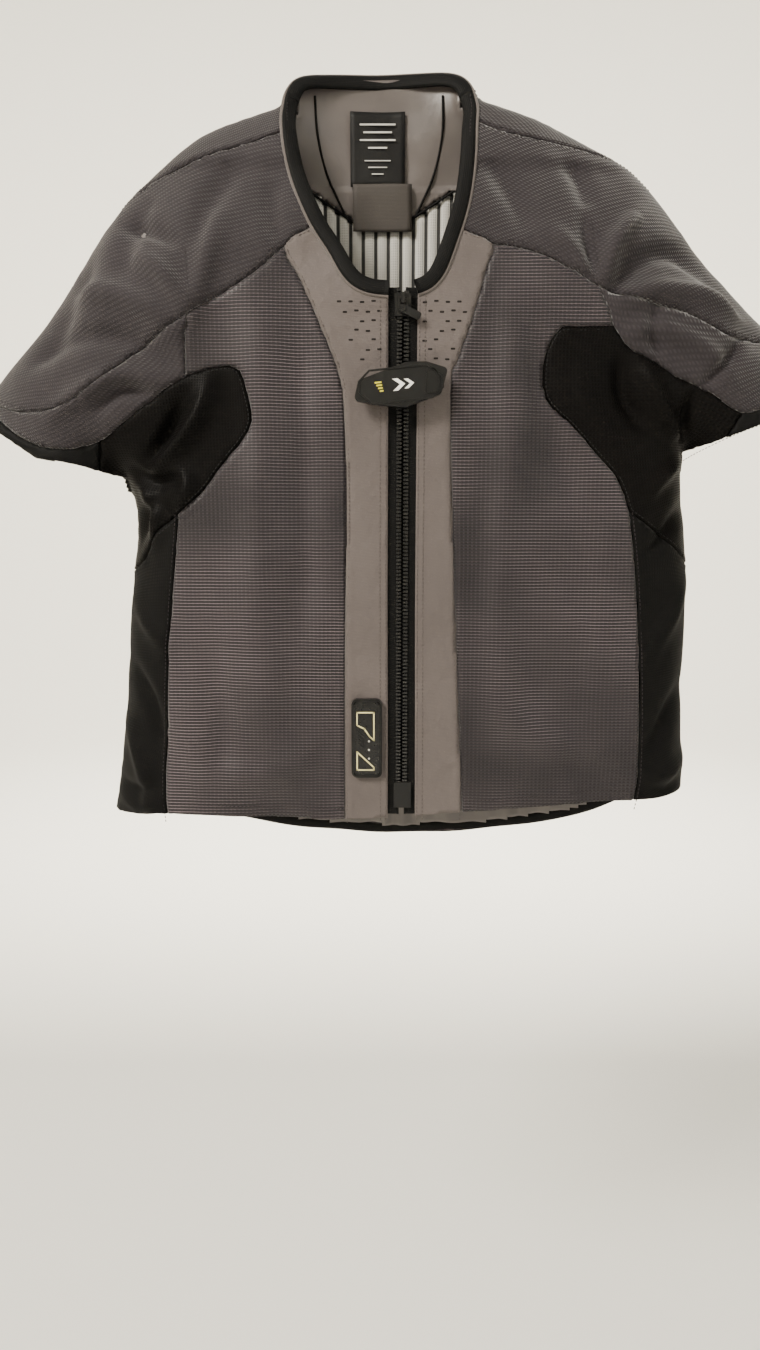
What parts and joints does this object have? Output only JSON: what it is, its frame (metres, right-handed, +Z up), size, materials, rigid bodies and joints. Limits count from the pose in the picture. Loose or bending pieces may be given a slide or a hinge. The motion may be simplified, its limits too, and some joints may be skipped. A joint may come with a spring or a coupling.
{
  "type": "airbag vest with back protector",
  "caption": "Short-sleeved zip-front airbag vest for motorcycling with a built-in back protector, status display and magnetic closure flap",
  "frame": {"origin": "middle of the neck opening, level with the tops of the shoulders, where a hanger carries it", "axes": "+Z up, the front faces -Y, +X to the right of someone looking at the front"},
  "size_m": [0.704, 0.1387, 0.66],
  "materials": {
    "shoulder_weave": "heavy diagonal weave",
    "body_mesh": "fine rectangular net over cloth",
    "placket_weave": "smooth woven",
    "stretch_black": "matt stretch weave",
    "net_black": "open net over black cloth",
    "binding_black": "smooth bound edge",
    "lining_satin": "satin",
    "lining_mesh": "ribbed spacer mesh",
    "label_woven": "woven label",
    "airbag_cloth": "coated cloth",
    "zip_tape": "woven tape",
    "zip_plastic": "moulded",
    "slider_metal": "black lacquer",
    "puller_rubber": "moulded",
    "flap_rubber": "moulded, satin",
    "magnet": "plated",
    "display_shell": "moulded",
    "display_gloss": "satin lens",
    "display_light": "clear",
    "circuit_board": "solder mask",
    "hard_plastic": "moulded",
    "foam": "closed-cell foam",
    "screw_steel": "plated",
    "battery_wrap": "film",
    "inflator_aluminium": "drawn",
    "ribbon_cable": "flat"
  },
  "bodies": {
    "garment": {"airbag_back": "airbag_cloth", "airbag_front": "airbag_cloth", "back_lining": "lining_mesh", "back_panel": "body_mesh", "back_yoke": "shoulder_weave", "battery": "battery_wrap", "care_label": "label_woven", "collar_back": "binding_black", "collar_front": "binding_black", "control_board": "circuit_board", "control_housing": "hard_plastic", "control_lid": "hard_plastic", "control_screws": "screw_steel", "cuff_band_left": "binding_black", "cuff_band_right": "binding_black", "display_board": "circuit_board", "display_housing": "display_shell", "display_lens": "display_gloss", "display_lights": "display_light", "flap_base": "flap_rubber", "flap_keeper": "flap_rubber", "front_lining_left": "lining_satin", "front_lining_right": "lining_satin", "front_panel_left": "body_mesh", "front_panel_right": "body_mesh", "gas_manifold": "hard_plastic", "harness_ribbon": "ribbon_cable", "hem_binding": "binding_black", "inflators": "inflator_aluminium", "label_patch": "label_woven", "lining_yoke": "lining_satin", "placket_left": "placket_weave", "placket_right": "placket_weave", "port_socket": "display_shell", "protector_foam": "foam", "protector_shell": "hard_plastic", "saddle_left": "shoulder_weave", "saddle_right": "shoulder_weave", "shoulder_panel_left": "shoulder_weave", "shoulder_panel_right": "shoulder_weave", "side_panel_left": "stretch_black", "side_panel_right": "stretch_black", "sleeve_back_left": "shoulder_weave", "sleeve_back_right": "shoulder_weave", "sleeve_panel_left": "shoulder_weave", "sleeve_panel_right": "shoulder_weave", "underarm_panel_left": "net_black", "underarm_panel_right": "net_black", "zip_box": "zip_plastic", "zip_chain_left": "zip_plastic", "zip_chain_right": "zip_plastic", "zip_pin": "zip_plastic", "zip_tape_left": "zip_tape", "zip_tape_right": "zip_tape"},
    "slider": {"zip_slider": "slider_metal"},
    "pull_link": {"pull_link": "slider_metal"},
    "pull_tab": {"pull_tab": "puller_rubber"},
    "flap": {"closure_flap": "flap_rubber", "flap_magnet": "magnet"},
    "port_cap": {"port_cap": "flap_rubber"}
  },
  "joints": [
    {"name": "zip_travel", "type": "slide", "parent": "garment", "child": "slider", "axis": [0, 0, -1], "range_m": [0, 0.375]},
    {"name": "link_lift", "type": "hinge", "parent": "slider", "child": "pull_link", "pos_m": [0, -0.06345, -0.167], "axis": [-1, 0, 0], "range_deg": [0, 100]},
    {"name": "tab_swivel", "type": "hinge", "parent": "pull_link", "child": "pull_tab", "pos_m": [0, -0.0654, -0.1752], "axis": [0, 1, 0], "range_deg": [0, 130]},
    {"name": "flap_swing", "type": "hinge", "parent": "garment", "child": "flap", "pos_m": [-0.0367, -0.069, -0.238], "axis": [-0.2304, 0, -0.9731], "range_deg": [0, 150]},
    {"name": "cap_lift", "type": "hinge", "parent": "garment", "child": "port_cap", "pos_m": [-0.034, -0.046, -0.432], "axis": [1, 0, 0], "range_deg": [0, 110]}
  ]
}
